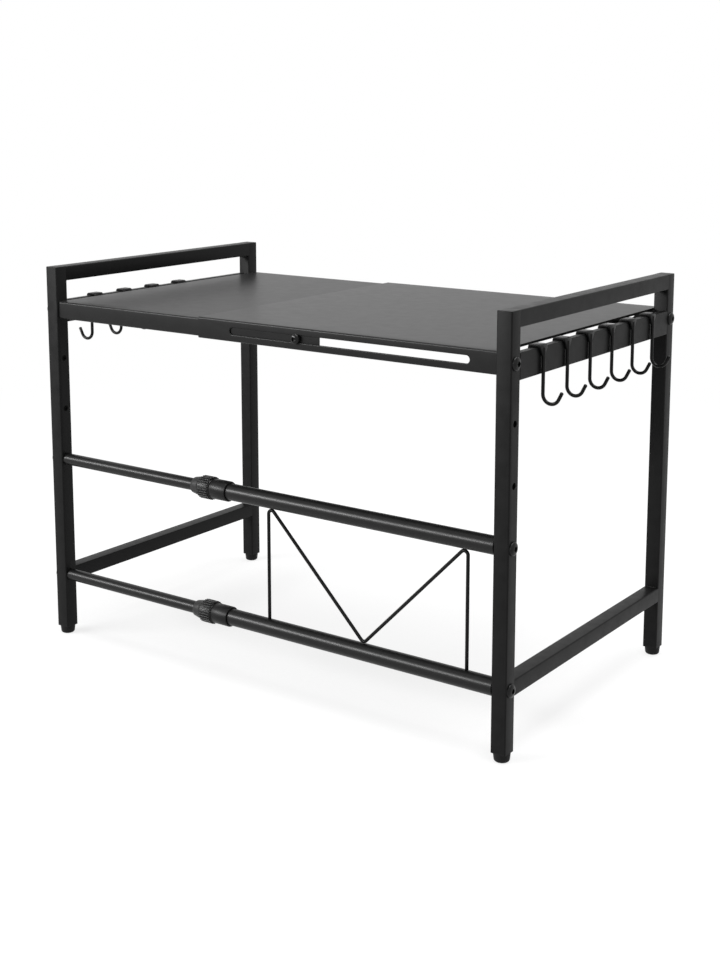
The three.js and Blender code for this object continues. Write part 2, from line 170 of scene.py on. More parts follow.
def soften(piece, width):
    take(piece)
    edge = piece.modifiers.new("soft_edge", "BEVEL")
    edge.width = width
    edge.segments = SOFT_STEPS
    edge.limit_method = "ANGLE"
    edge.angle_limit = math.radians(SOFT_ANGLE)
    bpy.ops.object.modifier_apply(modifier=edge.name)


def join_solid(piece, other, operation):
    take(piece)
    cut = piece.modifiers.new("cut", "BOOLEAN")
    cut.operation = operation
    cut.solver = "EXACT"
    cut.object = other
    bpy.ops.object.modifier_apply(modifier=cut.name)
    bpy.data.objects.remove(other)


def block(name, low, high):
    start_clean()
    low, high = Vector(low), Vector(high)
    bpy.ops.mesh.primitive_cube_add(size=1, location=(low + high) / 2)
    piece = named(name)
    piece.scale = high - low
    return settle(piece)


# Square or flat tube: a block whose long edges are rolled over.
def bar(name, low, high, axis, corner):
    piece = block(name, low, high)
    round_edges(piece, lambda a, b: along(a, b, axis), corner, CORNER_STEPS)
    return piece


# Turned piece: a circle drawn out step by step along Z, by an outline of (radius, height) in millimetres.
# An outline that comes back to its start makes a ring, and another one is closed at both ends.
def turned(name, outline, sides, ring=False):
    start_clean()
    radius, height = outline[0]
    bpy.ops.mesh.primitive_circle_add(
        vertices=sides, radius=radius * MM, location=(0, 0, height * MM), fill_type="NOTHING")
    piece = settle(named(name))
    edit(piece, "EDGE")
    bpy.ops.mesh.select_all(action="SELECT")
    for next_radius, next_height in outline[1:]:
        draw_on((0, 0, (next_height - height) * MM))
        ratio = next_radius / radius
        bpy.ops.transform.resize(
            value=(ratio, ratio, 1), center_override=(0, 0, next_height * MM))
        radius, height = next_radius, next_height
    if not ring:
        bpy.ops.mesh.select_all(action="SELECT")
        bpy.ops.mesh.fill_holes(sides=0)
    leave()
    heal(piece)
    return piece


def lay(piece, facing, place):
    piece.rotation_euler = [math.radians(angle) for angle in FACING[facing]]
    piece.location = place
    settle(piece)


# The drill's radius and its reach to both sides of the place are in millimetres.
def drilled(piece, radius, facing, place, reach):
    drill = turned("drill", [(radius, -reach), (radius, reach)], DRILL_SIDES)
    lay(drill, facing, place)
    join_solid(piece, drill, "DIFFERENCE")


def copy_of(piece, name, place=(0, 0, 0), half_turn=False):
    take(piece)
    bpy.ops.object.duplicate(linked=False)
    twin = named(name)
    twin.rotation_euler = (0, 0, math.pi if half_turn else 0)
    twin.location = place
    return settle(twin)


# Bent pieces lie in an XZ plane: the end face is drawn straight on and spun round each bend.
WIRE_SIDES = 20
WIRE_ANGLE = 50
BEND_STEP, LEAST_BEND_STEPS = 10, 5


def hold_end(piece):
    edit(piece, "FACE")
    bpy.ops.mesh.select_all(action="SELECT")


def bend_round(centre, degrees):
    steps = max(LEAST_BEND_STEPS, math.ceil(abs(degrees) / BEND_STEP))
    bpy.ops.mesh.spin(
        steps=steps, angle=-math.radians(degrees), center=centre, axis=(0, 1, 0), dupli=False)


def wire_start(name, radius, place):
    start_clean()
    bpy.ops.mesh.primitive_circle_add(
        vertices=WIRE_SIDES, radius=radius, location=place, fill_type="NGON")
    piece = settle(named(name))
    hold_end(piece)
    return piece


# Both cut ends of the wire are rounded off.
def wire_end(piece, radius):
    leave()
    heal(piece)
    pick_faces(piece, lambda face: len(face.vertices) == WIRE_SIDES)
    bpy.ops.mesh.inset(thickness=0.35 * radius, depth=0.3 * radius)
    leave()
    heal(piece)
    smooth(piece, WIRE_ANGLE)


# Finishes
def grey(level):
    return (level, level, level)


def finish_nodes(name, base, rough, metal=0.0, shine=0.5):
    finish = bpy.data.materials.new(name)
    finish.use_nodes = True
    tree = finish.node_tree
    shader = tree.nodes["Principled BSDF"]
    shader.inputs["Base Color"].default_value = (*base, 1)
    shader.inputs["Roughness"].default_value = rough
    shader.inputs["Metallic"].default_value = metal
    shader.inputs["Specular IOR Level"].default_value = shine
    place = tree.nodes.new("ShaderNodeTexCoord")
    return finish, tree, shader, place


def speckle(tree, place, scale, detail):
    noise = tree.nodes.new("ShaderNodeTexNoise")
    noise.inputs["Scale"].default_value = scale
    noise.inputs["Detail"].default_value = detail
    tree.links.new(place.outputs["Object"], noise.inputs["Vector"])
    return noise


def map_range(tree, value, from_low, from_high, to_low, to_high):
    band = tree.nodes.new("ShaderNodeMapRange")
    band.inputs["From Min"].default_value = from_low
    band.inputs["From Max"].default_value = from_high
    band.inputs["To Min"].default_value = to_low
    band.inputs["To Max"].default_value = to_high
    tree.links.new(value, band.inputs["Value"])
    return band.outputs["Result"]


# Most of the noise lies between these two levels.
NOISE_LOW, NOISE_HIGH = 0.3, 0.7


def vary_rough(tree, shader, noise, rough, less, more):
    varied = map_range(tree, noise.outputs["Fac"], NOISE_LOW, NOISE_HIGH, rough - less, rough + more)
    tree.links.new(varied, shader.inputs["Roughness"])


def tint(tree, shader, noise, dark, light):
    mix = tree.nodes.new("ShaderNodeMix")
    mix.data_type = "RGBA"
    mix.inputs["A"].default_value = (*dark, 1)
    mix.inputs["B"].default_value = (*light, 1)
    tree.links.new(noise.outputs["Fac"], mix.inputs["Factor"])
    tree.links.new(mix.outputs["Result"], shader.inputs["Base Color"])


def grain(tree, shader, noise, strength, distance):
    bump = tree.nodes.new("ShaderNodeBump")
    bump.inputs["Strength"].default_value = strength
    bump.inputs["Distance"].default_value = distance
    tree.links.new(noise.outputs["Fac"], bump.inputs["Height"])
    tree.links.new(bump.outputs["Normal"], shader.inputs["Normal"])


def powder_coat(name, dark, light, rough, shine, vary=0.045, peel_depth=0.16):
    finish, tree, shader, place = finish_nodes(name, light, rough, shine=shine)
    cloud = speckle(tree, place, scale=90, detail=3)
    peel = speckle(tree, place, scale=1100, detail=2)
    tint(tree, shader, cloud, dark, light)
    vary_rough(tree, shader, cloud, rough, less=vary, more=vary)
    grain(tree, shader, peel, strength=peel_depth, distance=0.2 * MM)
    return finish


def moulded_plastic(name, dark, light, rough, shine):
    finish, tree, shader, place = finish_nodes(name, light, rough, shine=shine)
    spark = speckle(tree, place, scale=2600, detail=1)
    cloud = speckle(tree, place, scale=60, detail=3)
    tint(tree, shader, cloud, dark, light)
    vary_rough(tree, shader, cloud, rough, less=0.05, more=0.06)
    grain(tree, shader, spark, strength=0.22, distance=0.12 * MM)
    return finish


def plated_steel(name, dark, light, rough):
    finish, tree, shader, place = finish_nodes(name, light, rough, metal=1.0)
    streak = speckle(tree, place, scale=320, detail=4)
    tint(tree, shader, streak, dark, light)
    vary_rough(tree, shader, streak, rough, less=0.06, more=0.08)
    grain(tree, shader, streak, strength=0.1, distance=0.1 * MM)
    return finish


coat = powder_coat("satin_black_coat", grey(0.003), grey(0.006), rough=0.40, shine=0.10)
shelf_coat = powder_coat(
    "satin_black_sheet", grey(0.006), grey(0.008), rough=0.37, shine=0.14, vary=0.012, peel_depth=0.06)
tube_coat = powder_coat(
    "satin_black_tube", grey(0.004), grey(0.007), rough=0.34, shine=0.18, vary=0.02, peel_depth=0.05)
wire_coat = powder_coat("satin_black_wire", grey(0.002), grey(0.004), rough=0.32, shine=0.12)
lock_plastic = moulded_plastic("matte_black_lock", grey(0.003), grey(0.006), rough=0.38, shine=0.16)
grip_plastic = moulded_plastic("satin_black_grip", grey(0.003), grey(0.006), rough=0.40, shine=0.30)
foot_plastic = moulded_plastic("matte_black_foot", grey(0.003), grey(0.005), rough=0.5, shine=0.14)
black_bolt = powder_coat("gloss_black_bolt", grey(0.003), grey(0.005), rough=0.24, shine=0.18)
zinc = plated_steel("zinc_plate", (0.42, 0.43, 0.45), (0.58, 0.59, 0.61), rough=0.36)


def coated(piece, finish):
    piece.data.materials.clear()
    piece.data.materials.append(finish)


def done(piece, body, slot, finish, *nodes):
    coated(piece, finish)
    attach(piece, body)
    if nodes:
        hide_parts(*nodes)


def middle(node):
    low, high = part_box(node)
    return (low + high) / 2


def size(node):
    low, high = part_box(node)
    return high - low


# End frames
POST = size("right_front_post").x
POST_CORNER = 1.4 * MM
POST_TOP_EDGE = 0.7 * MM
RAIL_CORNER = 1.2 * MM
TUBE_WALL = 1.2 * MM
CORE_CORNER = 0.6 * MM
CORE_BELOW = 10 * MM
GROUND_FLUSH = 1.15 * MM
SPARE_LEVELS = (320 * MM, 263 * MM)
# Spare hole's radius and the drill's reach, in millimetres
SPARE_HOLE, SPARE_REACH = 3.2, 12


# The tube is open below and closed on top, and the front posts have spare holes.
def post(side, end, body):
    node = f"{side}_{end}_post"
    low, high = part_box(node)
    piece = bar(f"{node}_tube", low, high, Z, POST_CORNER)
    round_edges(piece, lambda a, b: both_at(a, b, Z, high.z), POST_TOP_EDGE, segments=3)
    wall = Vector((TUBE_WALL, TUBE_WALL, 0))
    core_low = low + wall - Vector((0, 0, CORE_BELOW))
    core_high = high - wall - Vector((0, 0, TUBE_WALL))
    join_solid(piece, bar("core", core_low, core_high, Z, CORE_CORNER), "DIFFERENCE")
    if end == "front":
        spot = middle(node)
        for level in SPARE_LEVELS:
            drilled(piece, SPARE_HOLE, "+X", (spot.x, spot.y, level), SPARE_REACH)
    smooth(piece)
    done(piece, body, "coat", coat, node)


def cross_bar(node, body, corner, into_post=0.0):
    low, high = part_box(node)
    reach = Vector((0, into_post, 0))
    piece = bar(f"{node}_tube", low - reach, high + reach, Y, corner)
    smooth(piece)
    done(piece, body, "coat", coat, node)


# Bars as wide as the posts are welded and ground flush, so their ends fill the posts' rounded corners.
def flush_bar(side, bar_name, body):
    node = f"{side}_{bar_name}"
    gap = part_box(node)[0].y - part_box(f"{side}_front_post")[1].y
    cross_bar(node, body, POST_CORNER, gap + GROUND_FLUSH)


# Weld bead, in millimetres: a short rippled roll laid in the corner between two tubes.
BEAD_LENGTH, BEAD_TIP_LENGTH = 12.4, 0.5
BEAD_CREST = 1.15
BEAD_DIP = 0.86 * BEAD_CREST
BEAD_TIP = 0.5 * BEAD_CREST
BEAD_RIPPLES = 14
BEAD_SIDES = 14
BEAD_ANGLE = 60


def weld_bead(name, body, place):
    rippled = BEAD_LENGTH - 2 * BEAD_TIP_LENGTH
    outline = [(BEAD_TIP, -BEAD_LENGTH / 2)]
    for i in range(BEAD_RIPPLES + 1):
        outline.append((BEAD_CREST if i % 2 else BEAD_DIP, (i / BEAD_RIPPLES - 0.5) * rippled))
    outline.append((BEAD_TIP, BEAD_LENGTH / 2))
    piece = turned(name, outline, BEAD_SIDES)
    lay(piece, "+X", place)
    smooth(piece, BEAD_ANGLE)
    done(piece, body, "coat", coat)


# Beads lie this far in from the ends of a bar, and this far above or below it.
BEAD_INWARD = 0.5 * MM
BEAD_OUT = 0.35 * MM


def bar_welds(side, bar_name, body, levels):
    node = f"{side}_{bar_name}"
    low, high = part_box(node)
    ends = {"front": low.y + BEAD_INWARD, "rear": high.y - BEAD_INWARD}
    heights = {"low": low.z - BEAD_OUT, "high": high.z + BEAD_OUT}
    for end in ENDS:
        for level in levels:
            weld_bead(f"{node}_{end}_{level}_weld", body, (middle(node).x, ends[end], heights[level]))


for side, body in SIDES:
    for end in ENDS:
        post(side, end, body)
    flush_bar(side, "top_bar", body)
    flush_bar(side, "lower_rail", body)
    cross_bar(f"{side}_shelf_rail", body, RAIL_CORNER)
    bar_welds(side, "top_bar", body, ("low",))
    bar_welds(side, "lower_rail", body, ("low", "high"))


# Feet, in millimetres: rounded pad, square flange and the plug that goes up the post.
PAD_EDGE, PAD_EDGE_STEPS = 2.6, 6
PAD_TAPER = 0.7
PAD_TOP, FLANGE_TOP = 8.8, 10.0
PAD_SIDES = 40
PLUG_FROM = PAD_TOP + 0.2
PLUG_PLAY, PLUG_CORNER = 0.3, 1.0


def square_block(name, width, low, high, corner):
    half = width / 2
    return bar(name, (-half, -half, low), (half, half, high), Z, corner)


def foot_shape():
    whole = size("right_front_foot")
    radius = whole.x / 2 / MM
    inner = radius - PAD_TAPER - PAD_EDGE
    outline = []
    for i in range(PAD_EDGE_STEPS + 1):
        angle = math.pi / 2 * i / PAD_EDGE_STEPS
        outline.append((inner + PAD_EDGE * math.sin(angle), PAD_EDGE - PAD_EDGE * math.cos(angle)))
    rim = [(radius - 0.05, PAD_TOP - 0.5), (radius - 0.1, PAD_TOP - 0.2), (radius - 0.5, PAD_TOP + 0.1)]
    piece = turned("foot_shape", outline + rim, PAD_SIDES)
    flange = square_block("flange", POST, PAD_TOP * MM, FLANGE_TOP * MM, POST_CORNER)
    join_solid(piece, flange, "UNION")
    plug_width = POST - 2 * (TUBE_WALL + PLUG_PLAY * MM)
    plug = square_block("plug", plug_width, PLUG_FROM * MM, whole.z, PLUG_CORNER * MM)
    join_solid(piece, plug, "UNION")
    return piece


foot = foot_shape()
for side, body in SIDES:
    for end in ENDS:
        node = f"{side}_{end}_foot"
        piece = copy_of(foot, f"{node}_pad", (middle(node).x, middle(node).y, 0))
        smooth(piece)
        done(piece, body, "foot", foot_plastic, node)
bpy.data.objects.remove(foot)


# Shelf panels: a flat sheet with its lips and hems drawn down, the folds rolled, then thickened.
SHEET = 1.2 * MM
FOLD, FOLD_STEPS = 2 * MM, 5
OUTER_HEM, INNER_HEM = 9 * MM, 8 * MM
EAR = 15 * MM
END_FOLD = 2.5 * MM
# The free end is rolled down a little over this length.
ROLL, ROLL_DOWN = 4 * MM, 0.25 * MM
BOLT_LEVEL = middle("right_front_shelf_bolt").z
# Holes in millimetres: radius, and the drill's reach through one wall or through the whole shelf
BOLT_HOLE, THROUGH_WALL, THROUGH_SHELF = 2.8, 4, 200


# The sheet is divided beside its ears, and near both ends, so that what is bent there stays at the end.
def flat_sheet(node):
    low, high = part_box(node)
    start_clean()
    bpy.ops.mesh.primitive_plane_add(size=1, location=(middle(node).x, 0, high.z))
    piece = named(f"{node}_sheet")
    piece.scale = (high.x - low.x, 2 * high.y, 1)
    settle(piece)
    cuts = [((x, 0, high.z), (1, 0, 0)) for x in (low.x + ROLL, high.x - ROLL)]
    cuts += [((0, y, high.z), (0, 1, 0)) for y in (EAR - high.y, high.y - EAR)]
    edit(piece, "EDGE")
    for place, normal in cuts:
        bpy.ops.mesh.select_all(action="SELECT")
        bpy.ops.mesh.bisect(plane_co=place, plane_no=normal)
    leave()
    return piece


def fold_lips(piece, half, drop, hem):
    for way in (-1, 1):
        edge_y = way * half
        pull_edges(piece, lambda a, b: both_at(a, b, Y, edge_y), (0, 0, -drop), (0, -way * hem, 0))
    round_edges(piece, lambda a, b: along(a, b, X) and abs(abs(a.y) - half) < TOUCH, FOLD, FOLD_STEPS)


# The bolted end is folded down between the ears, and the ears are turned in from the lips.
def fold_bolted_end(piece, half, top, end_x):
    def between_ears(a, b):
        inside = max(abs(a.y), abs(b.y)) < half - EAR + TOUCH
        return inside and both_at(a, b, X, end_x) and both_at(a, b, Z, top)

    pull_edges(piece, between_ears, (0, 0, -END_FOLD))
    for way in (-1, 1):
        lip_y = way * half
        pull_edges(
            piece, lambda a, b: both_at(a, b, X, end_x) and both_at(a, b, Y, lip_y) and along(a, b, Z),
            (0, -way * (EAR - SHEET), 0))


def roll_free_end(piece, top, free_x):
    pick_edges(piece, lambda a, b: both_at(a, b, X, free_x) and both_at(a, b, Z, top))
    bpy.ops.transform.translate(value=(0, 0, -ROLL_DOWN))
    leave()
    heal(piece)


def thicken(piece):
    wall = piece.modifiers.new("wall", "SOLIDIFY")
    wall.thickness = SHEET
    wall.offset = -1
    wall.use_even_offset = True
    take(piece)
    bpy.ops.object.modifier_apply(modifier=wall.name)


def panel(node, hem, end_x, free_x):
    low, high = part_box(node)
    piece = flat_sheet(node)
    fold_lips(piece, high.y, high.z - low.z, hem)
    fold_bolted_end(piece, high.y, high.z, end_x)
    roll_free_end(piece, high.z, free_x)
    thicken(piece)
    for end in ENDS:
        place = (end_x, middle(f"right_{end}_shelf_bolt").y, BOLT_LEVEL)
        drilled(piece, BOLT_HOLE, "+X", place, THROUGH_WALL)
    return piece


# The slot's ends are measured from the bolted end. Its corners are rounded by a hair less than half its
# height, so that two of them never meet in one point.
SLOT_FROM, SLOT_TO = 310 * MM, 28 * MM
SLOT_HALF, SLOT_ROUND, SLOT_STEPS = 3.75 * MM, 3.74 * MM, 12
SLOT_EDGE, SLOT_EDGE_STEPS = 0.7 * MM, 4
SLOT_MARGIN = 0.05 * MM


def slot_cutter(end_x):
    low = (end_x - SLOT_FROM, -THROUGH_SHELF * MM, BOLT_LEVEL - SLOT_HALF)
    high = (end_x - SLOT_TO, THROUGH_SHELF * MM, BOLT_LEVEL + SLOT_HALF)
    cutter = block("slot", low, high)
    round_edges(cutter, lambda a, b: along(a, b, Y), SLOT_ROUND, SLOT_STEPS)
    heal(cutter)
    return cutter


# The slot goes through both lips. Its rounded edge is parted from the flat lip by a sharp line.
def outer_panel():
    low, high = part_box("outer_panel")
    piece = panel("outer_panel", OUTER_HEM, end_x=high.x, free_x=low.x)
    join_solid(piece, slot_cutter(high.x), "DIFFERENCE")

    def on_lip(p, reach):
        return abs(abs(p.y) - high.y) < TOUCH and abs(p.z - BOLT_LEVEL) < reach + SLOT_MARGIN

    def round_slot(a, b, reach):
        return on_lip(a, reach) and on_lip(b, reach) and a.y * b.y > 0

    round_edges(piece, lambda a, b: round_slot(a, b, SLOT_HALF), SLOT_EDGE, SLOT_EDGE_STEPS)
    pick_edges(piece, lambda a, b: round_slot(a, b, SLOT_HALF + SLOT_EDGE))
    bpy.ops.mesh.mark_sharp()
    leave()
    smooth(piece)
    done(piece, RIGHT, "coat", shelf_coat, "outer_panel")


def inner_panel():
    low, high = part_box("inner_panel")
    piece = panel("inner_panel", INNER_HEM, end_x=low.x, free_x=high.x)
    drilled(piece, BOLT_HOLE, "+Y", (middle("front_clamp_screw").x, 0, BOLT_LEVEL), THROUGH_SHELF)
    smooth(piece)
    done(piece, LEFT, "coat", shelf_coat, "inner_panel")


outer_panel()
inner_panel()

# Front rods, in millimetres along the rod from the left end of each piece
THICK_WALL, THIN_WALL = 1.2, 1.0
PIPE_EDGE = 0.3
ROD_SIDES = 64


def rod_length(node):
    return size(node).x / MM


def lay_on_rod(piece, node):
    lay(piece, "+X", (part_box(node)[0].x, middle(node).y, middle(node).z))


def rod_tube(node, body, wall):
    length = rod_length(node)
    outside = size(node).z / 2 / MM
    bore = outside - wall
    edge = PIPE_EDGE
    piece = turned(f"{node}_pipe", [
        (bore, edge), (bore + edge, 0), (outside - edge, 0), (outside, edge),
        (outside, length - edge), (outside - edge, length), (bore + edge, length), (bore, length - edge),
        (bore, edge)], ROD_SIDES, ring=True)
    lay_on_rod(piece, node)
    smooth(piece)
    done(piece, body, "coat", tube_coat, node)


# Sleeve on the thick tube: the neck inside the nut, then a plain collar with softly broken edges.
COLLAR, NECK, NECK_BORE, SEAT_BORE = 10.6, 8.9, 6.8, 9.1
COLLAR_LENGTH, SEAT_LENGTH = 21, 17
NECK_EDGE, SEAT_EDGE = 0.4, 0.2


def lock_sleeve(node):
    length = rod_length(node)
    front, seat = length - COLLAR_LENGTH, length - SEAT_LENGTH
    neck = [
        (NECK_BORE, NECK_EDGE), (NECK_BORE + NECK_EDGE, 0), (NECK - NECK_EDGE, 0), (NECK, NECK_EDGE),
        (NECK, front)]
    collar = [
        (COLLAR - 0.6, front), (COLLAR - 0.15, front + 0.15), (COLLAR, front + 0.6),
        (COLLAR, length - 0.7), (COLLAR - 0.2, length - 0.2), (COLLAR - 0.7, length)]
    bore = [
        (SEAT_BORE + SEAT_EDGE, length), (SEAT_BORE, length - SEAT_EDGE), (SEAT_BORE, seat),
        (NECK_BORE, seat), (NECK_BORE, NECK_EDGE)]
    piece = turned(f"{node}_collar", neck + collar + bore, ROD_SIDES, ring=True)
    lay_on_rod(piece, node)
    smooth(piece)
    done(piece, RIGHT, "plastic", lock_plastic, node)


# Lock nut: smooth nose, then a grip whose ribs are drawn out of the barrel. Every rib takes six faces
# of the barrel, the first half of them raised and the others left as the groove beside it.
RIBS, RIB_FACES, RAISED_FACES = 26, 6, 3
BARREL, RIB_RISE = 10.7, 1.45
# The middle of a flat face of the barrel lies within this distance of the barrel's radius.
BARREL_NEAR = 0.06
RIB_SIDE_ROUND, RIB_END_ROUND = 0.5, 0.2
NOSE_LENGTH = 10.2
RIB_SETBACK, RIB_END_SETBACK = 1.6, 0.5
MOUTH, MOUTH_DEPTH = 6.9, 2.0
NUT_BORE, NUT_BORE_FROM = 9.2, 11.7
NUT_ANGLE = 40


def nut_blank(name, end, rib_from, rib_to):
    nose = [
        (MOUTH, 0.3), (MOUTH + 0.3, 0), (7.9, 0), (8.3, 0.15), (8.5, 0.6), (9.3, 4.6), (10.0, 8.2),
        (10.3, NOSE_LENGTH - 0.3), (10.5, NOSE_LENGTH)]
    barrel = [
        (BARREL - 0.5, NOSE_LENGTH + 0.2), (BARREL, NOSE_LENGTH + 0.8), (BARREL, rib_from),
        (BARREL, rib_to), (BARREL - 0.4, end)]
    inside = [
        (NUT_BORE + 0.4, end), (NUT_BORE, end - 0.4), (NUT_BORE, NUT_BORE_FROM), (8.3, NUT_BORE_FROM),
        (7.7, MOUTH_DEPTH), (MOUTH, MOUTH_DEPTH), (MOUTH, 0.3)]
    return turned(name, nose + barrel + inside, RIBS * RIB_FACES, ring=True)


def lock_nut(node, body):
    end = rod_length(node)
    rib_from, rib_to = NOSE_LENGTH + RIB_SETBACK, end - RIB_END_SETBACK
    piece = nut_blank(f"{node}_grip", end, rib_from, rib_to)
    face_angle = 2 * math.pi / (RIBS * RIB_FACES)

    def on_rib(face):
        x, y, z = face.center / MM
        on_barrel = abs(math.hypot(x, y) - BARREL) < BARREL_NEAR and rib_from < z < rib_to
        number = math.floor((math.atan2(y, x) % (2 * math.pi)) / face_angle)
        return on_barrel and number % RIB_FACES < RAISED_FACES

    def on_crest(a, b):
        return min(math.hypot(a.x, a.y), math.hypot(b.x, b.y)) > (BARREL + RIB_RISE / 2) * MM

    def on_rib_side(a, b):
        number = round(math.atan2(a.y, a.x) / face_angle)
        return on_crest(a, b) and along(a, b, Z) and number % RAISED_FACES == 0

    def on_rib_end(a, b):
        at_end = both_at(a, b, Z, rib_from * MM) or both_at(a, b, Z, rib_to * MM)
        return on_crest(a, b) and at_end

    pick_faces(piece, on_rib)
    bpy.ops.mesh.extrude_region_shrink_fatten(TRANSFORM_OT_shrink_fatten={"value": RIB_RISE * MM})
    leave()
    round_edges(piece, on_rib_side, RIB_SIDE_ROUND * MM, segments=3)
    round_edges(piece, on_rib_end, RIB_END_ROUND * MM, segments=2)
    heal(piece)
    lay_on_rod(piece, node)
    smooth(piece, NUT_ANGLE)
    done(piece, body, "plastic", grip_plastic, node)


for rod in RODS:
    rod_tube(f"{rod}_thick_tube", RIGHT, THICK_WALL)
    rod_tube(f"{rod}_thin_tube", LEFT, THIN_WALL)
    lock_sleeve(f"{rod}_sleeve")
    lock_nut(f"{rod}_lock_nut", f"{rod}_lock")

# Wire brace between the thick tubes: straight leg, V, straight leg
BRACE_WIRE = 1.75 * MM
BRACE_BEND = 4 * MM


# The wire runs straight between two bends that turn opposite ways, so it crosses the line that joins
# the bends' centres.
def front_brace():
    low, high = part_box("front_brace")
    y = middle("front_brace").y
    left, right = low.x + BRACE_WIRE, high.x - BRACE_WIRE
    centre = (left + right) / 2
    crest = high.z - BRACE_WIRE - BRACE_BEND
    valley = low.z + BRACE_WIRE + BRACE_BEND
    reach, drop = centre - left - BRACE_BEND, crest - valley
    apart = math.hypot(reach, drop)
    crossing = math.asin(2 * BRACE_BEND / apart)
    slope = math.atan2(drop, reach) + crossing
    run = apart * math.cos(crossing)
    across, fall = run * math.cos(slope), run * math.sin(slope)
    crest_turn = 90 + math.degrees(slope)
    valley_turn = 2 * math.degrees(slope)
    piece = wire_start("front_brace_wire", BRACE_WIRE, (left, y, low.z))
    draw_on((0, 0, crest - low.z))
    bend_round((left + BRACE_BEND, y, crest), crest_turn)
    draw_on((across, 0, -fall))
    bend_round((centre, y, valley), -valley_turn)
    draw_on((across, 0, fall))
    bend_round((right - BRACE_BEND, y, crest), crest_turn)
    draw_on((0, 0, low.z - crest))
    wire_end(piece, BRACE_WIRE)
    done(piece, RIGHT, "coat", coat, "front_brace")


front_brace()

# Button-head screws with a hexagon socket, in millimetres, standing on their seat at Z 0
SHANK, SHANK_TIP = 2.5, 2.0
TIP_LENGTH = 0.6
HEAD_EDGE = 0.2
DOME_STEPS = 10
SCREW_SIDES, SOCKET_SIDES = 48, 6
SOCKET_DEPTH, SOCKET_ABOVE = 2.2, 2
SCREW_SOFT = 0.12


def button_screw(name, length, head, rim, height, socket):
    outline = [
        (SHANK_TIP, -length), (SHANK, TIP_LENGTH - length), (SHANK, 0), (head - HEAD_EDGE, 0),
        (head, HEAD_EDGE)]
    for i in range(DOME_STEPS):
        angle = math.pi / 2 * i / DOME_STEPS
        outline.append((head * math.cos(angle), rim + (height - rim) * math.sin(angle)))
    piece = turned(name, outline, SCREW_SIDES)
    key = turned("key", [(socket, height - SOCKET_DEPTH), (socket, height + SOCKET_ABOVE)], SOCKET_SIDES)
    join_solid(piece, key, "DIFFERENCE")
    soften(piece, SCREW_SOFT * MM)
    return piece


# Bolts through the posts
BOLT_HEAD = 3.6
bolt = button_screw("bolt_shape", length=28, head=6.7, rim=0.9, height=BOLT_HEAD, socket=2.75)
for side, body in SIDES:
    for place in ("front_shelf", "rear_shelf", "upper_rod", "lower_rod"):
        node = f"{side}_{place}_bolt"
        low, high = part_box(node)
        seat = high.x - BOLT_HEAD * MM if side == "right" else low.x + BOLT_HEAD * MM
        piece = copy_of(bolt, f"{node}_head")
        lay(piece, "+X" if side == "right" else "-X", (seat, middle(node).y, middle(node).z))
        smooth(piece)
        done(piece, body, "bolt", black_bolt, node)
bpy.data.objects.remove(bolt)

# Clamp screws through the slots in the outer lips
CLAMP_HEAD = 4.2
clamp_length = size("front_clamp_screw").y / MM - CLAMP_HEAD
clamp = button_screw(
    "clamp_shape", length=clamp_length, head=5.3, rim=1.4, height=CLAMP_HEAD, socket=2.2)
for end in ENDS:
    node = f"{end}_clamp_screw"
    low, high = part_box(node)
    seat = low.y + CLAMP_HEAD * MM if end == "front" else high.y - CLAMP_HEAD * MM
    piece = copy_of(clamp, f"{node}_head")
    lay(piece, "-Y" if end == "front" else "+Y", (middle(node).x, seat, middle(node).z))
    smooth(piece)
    done(piece, f"{end}_clamp", "bolt", black_bolt, node)
bpy.data.objects.remove(clamp)

# Hooks: a strap folded over the rail, its outer tab narrowing to the bent wire welded on it.
STRAP, STRAP_WIDTH = 2.4 * MM, 13 * MM
STRAP_BEND, STRAP_SOFT = 3 * MM, 0.35 * MM
STRAP_LEG, STRAP_TAB = 9 * MM, 11 * MM
HOOK_WIRE = 1.7 * MM
STRAP_PLAY, WIRE_PLAY = 0.3 * MM, 0.4 * MM
STEM_BELOW_TOP = 3 * MM
HOOK_CURVE = 8.5 * MM
HOOK_TIP, TIP_FLARE = 7.6 * MM, 27
HOOKS = (("right", 6), ("left", 4))


def hook_strap(inner, outer, top):
    start_clean()
    bpy.ops.mesh.primitive_plane_add(size=1, location=(inner + STRAP / 2, 0, top - STRAP_LEG))
    piece = named("hook_strap")
    piece.scale = (STRAP, STRAP_WIDTH, 1)
    settle(piece)
    hold_end(piece)
    draw_on((0, 0, STRAP_LEG - STRAP_BEND))
    bend_round((inner + STRAP_BEND, 0, top - STRAP_BEND), 90)
    draw_on((outer - inner - 2 * STRAP_BEND, 0, 0))
    bend_round((outer - STRAP_BEND, 0, top - STRAP_BEND), 90)
    draw_on((0, 0, STRAP_BEND - STRAP_TAB))
    bpy.ops.transform.resize(
        value=(1, 2 * HOOK_WIRE / STRAP_WIDTH, 1), center_override=(outer - STRAP / 2, 0, top - STRAP_TAB))
    leave()
    heal(piece)
    soften(piece, STRAP_SOFT)
    return piece


# The first right hook is modelled at Y 0, and each hook is a copy of it.
def hook_shape():
    low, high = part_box("right_hook_1")
    rail_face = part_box("right_shelf_rail")[1].x
    stem = rail_face + WIRE_PLAY + HOOK_WIRE
    stem_top = high.z - STEM_BELOW_TOP
    curve_z = low.z + HOOK_WIRE + HOOK_CURVE
    flare = math.radians(TIP_FLARE)
    piece = wire_start("hook_shape", HOOK_WIRE, (stem, 0, stem_top))
    draw_on((0, 0, curve_z - stem_top))
    bend_round((stem + HOOK_CURVE, 0, curve_z), TIP_FLARE - 180)
    draw_on((HOOK_TIP * math.sin(flare), 0, HOOK_TIP * math.cos(flare)))
    wire_end(piece, HOOK_WIRE)
    strap = hook_strap(low.x, rail_face + STRAP_PLAY + STRAP, high.z)
    join_solid(piece, strap, "UNION")
    return piece


